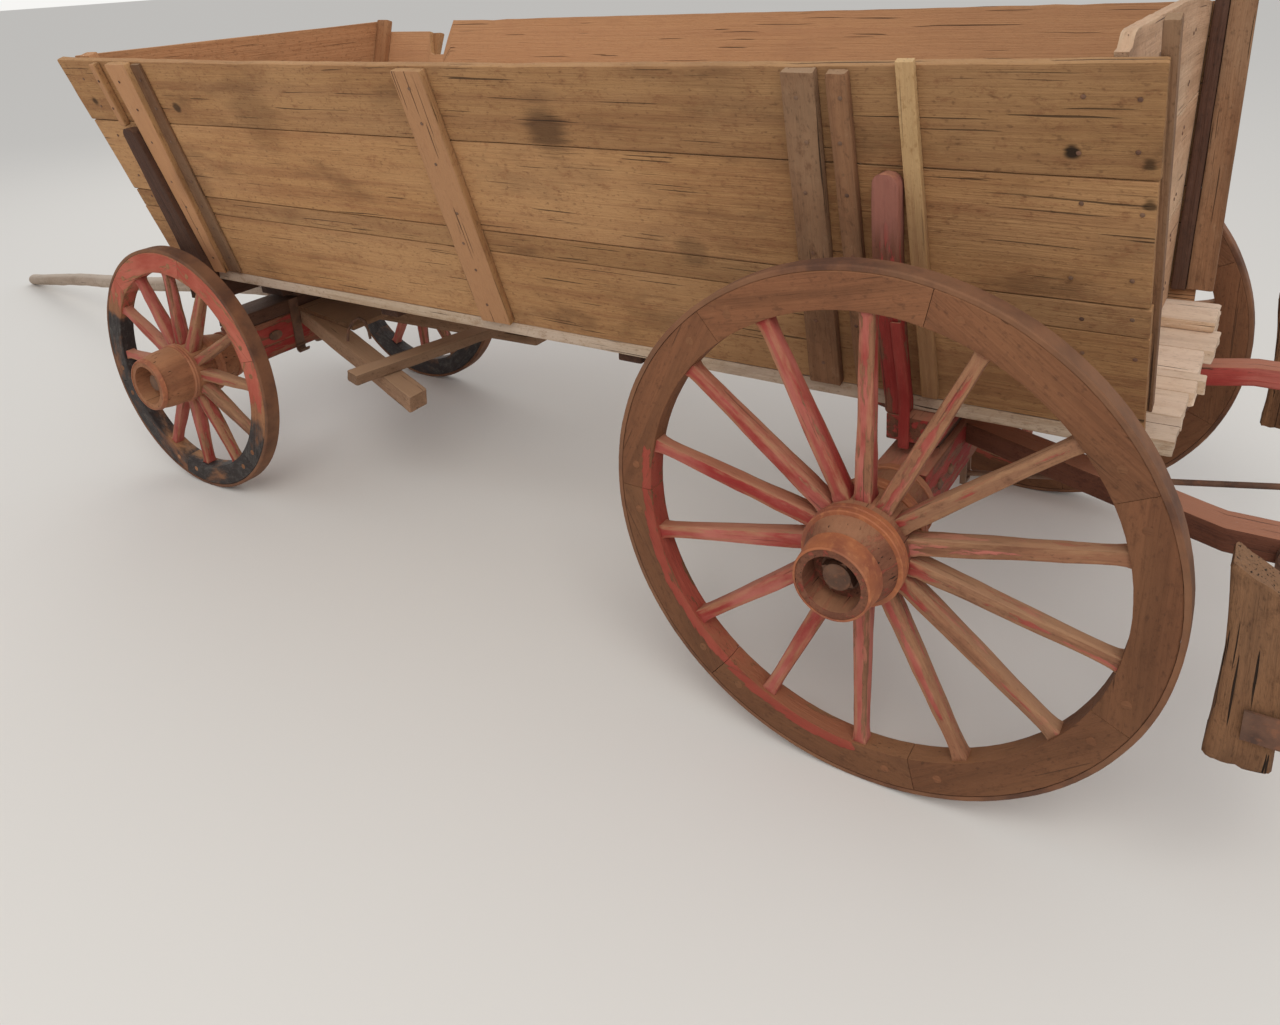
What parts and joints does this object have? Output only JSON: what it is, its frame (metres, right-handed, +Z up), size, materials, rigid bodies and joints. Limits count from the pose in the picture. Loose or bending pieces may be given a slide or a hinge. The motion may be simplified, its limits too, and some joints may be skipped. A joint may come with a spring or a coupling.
{
  "type": "four-wheeled ox wagon",
  "caption": "Old farm wagon with a flared plank box on spoked wooden wheels, steered front gear, draught pole and wooden block brake.",
  "frame": {"origin": "on the ground under the middle of the whole wagon, pole and brake included, on its centre line", "axes": "+X runs forward along the wagon, +Y to its left side, +Z up"},
  "size_m": [6.96, 1.832, 1.6545],
  "materials": {
    "weathered_boards": "dusty, weathered and stained",
    "pale_boards": "bare, sun bleached",
    "red_timber": "worn red paint over brown wood",
    "dark_timber": "dark, oily and dusty",
    "wheel_wood": "dusty brown with worn red paint",
    "pole_wood": "grey brown, bark gone",
    "rusty_iron": "rusted all over"
  },
  "bodies": {
    "wagon": {"bolster_stakes": "red_timber", "floor_boards": "pale_boards", "floor_cleats": "dark_timber", "front_pad": "dark_timber", "front_top_bolster": "dark_timber", "headboard_boards": "weathered_boards", "headboard_cleats": "weathered_boards", "king_bolt": "rusty_iron", "raised_plank": "pale_boards", "reach_pole": "red_timber", "rear_axle_arms": "rusty_iron", "rear_axle_bed": "red_timber", "rear_bolster": "red_timber", "rear_gear_irons": "rusty_iron", "rear_hounds": "red_timber", "rear_spacer": "dark_timber", "side_battens": "weathered_boards", "side_left_boards": "weathered_boards", "side_new_strip": "pale_boards", "side_right_boards": "weathered_boards", "tail_end_plank": "weathered_boards", "tail_stops": "dark_timber", "upper_plate": "rusty_iron"},
    "front_gear": {"front_axle_bed": "red_timber", "front_axle_arms": "rusty_iron", "sand_bolster": "dark_timber", "lower_plate": "rusty_iron", "front_hounds": "weathered_boards", "sway_bar": "weathered_boards", "pole_jaw": "rusty_iron", "pole_pin": "rusty_iron", "front_gear_irons": "rusty_iron"},
    "draught_pole": {"draught_pole": "pole_wood"},
    "tailgate": {"tailgate_boards": "weathered_boards", "tailgate_cleats": "weathered_boards"},
    "brake": {"brake_beam": "red_timber", "brake_blocks": "weathered_boards", "brake_irons": "rusty_iron"},
    "brake_rod": {"brake_rod": "rusty_iron"},
    "rear_left_wheel": {"rear_left_nave": "wheel_wood", "rear_left_bands": "rusty_iron", "rear_left_spokes": "wheel_wood", "rear_left_felloes": "wheel_wood", "rear_left_tyre": "rusty_iron"},
    "rear_right_wheel": {"rear_right_nave": "wheel_wood", "rear_right_bands": "rusty_iron", "rear_right_spokes": "wheel_wood", "rear_right_felloes": "wheel_wood", "rear_right_tyre": "rusty_iron"},
    "front_left_wheel": {"front_left_nave": "wheel_wood", "front_left_bands": "rusty_iron", "front_left_spokes": "wheel_wood", "front_left_felloes": "wheel_wood", "front_left_tyre": "rusty_iron"},
    "front_right_wheel": {"front_right_nave": "wheel_wood", "front_right_bands": "rusty_iron", "front_right_spokes": "wheel_wood", "front_right_felloes": "wheel_wood", "front_right_tyre": "rusty_iron"}
  },
  "joints": [
    {"name": "steering", "type": "hinge", "parent": "wagon", "child": "front_gear", "pos_m": [-0.05, 0, 0.604], "axis": [0, 0, 1], "range_deg": [-15, 15]},
    {"name": "pole_lift", "type": "hinge", "parent": "front_gear", "child": "draught_pole", "pos_m": [0.122, 0, 0.575], "axis": [-0.1668, -0.986, 0], "range_deg": [-4, 40]},
    {"name": "tailgate_lift", "type": "slide", "parent": "wagon", "child": "tailgate", "axis": [0, 0, 1], "range_m": [0, 0.8]},
    {"name": "brake_swing", "type": "hinge", "parent": "wagon", "child": "brake", "pos_m": [-3.4, 0, 0.6375], "axis": [0, -1, 0], "range_deg": [0, 15]},
    {"name": "brake_rod_pin", "type": "hinge", "parent": "brake", "child": "brake_rod", "pos_m": [-3.45, 0, 0.552], "axis": [0, -1, 0], "range_deg": [-15, 0]},
    {"name": "rear_left_spin", "type": "hinge", "parent": "wagon", "child": "rear_left_wheel", "pos_m": [-2.67, 0.763, 0.6], "axis": [0, 1, 0], "continuous": true},
    {"name": "rear_right_spin", "type": "hinge", "parent": "wagon", "child": "rear_right_wheel", "pos_m": [-2.67, -0.763, 0.6], "axis": [0, 1, 0], "continuous": true},
    {"name": "front_left_spin", "type": "hinge", "parent": "front_gear", "child": "front_left_wheel", "pos_m": [-0.05, 0.599, 0.456], "axis": [0, 1, 0], "continuous": true},
    {"name": "front_right_spin", "type": "hinge", "parent": "front_gear", "child": "front_right_wheel", "pos_m": [-0.05, -0.599, 0.456], "axis": [0, 1, 0], "continuous": true}
  ],
  "couplings": [
    {"joint": "brake_rod_pin", "follows": "brake_swing", "ratio": -1}
  ]
}
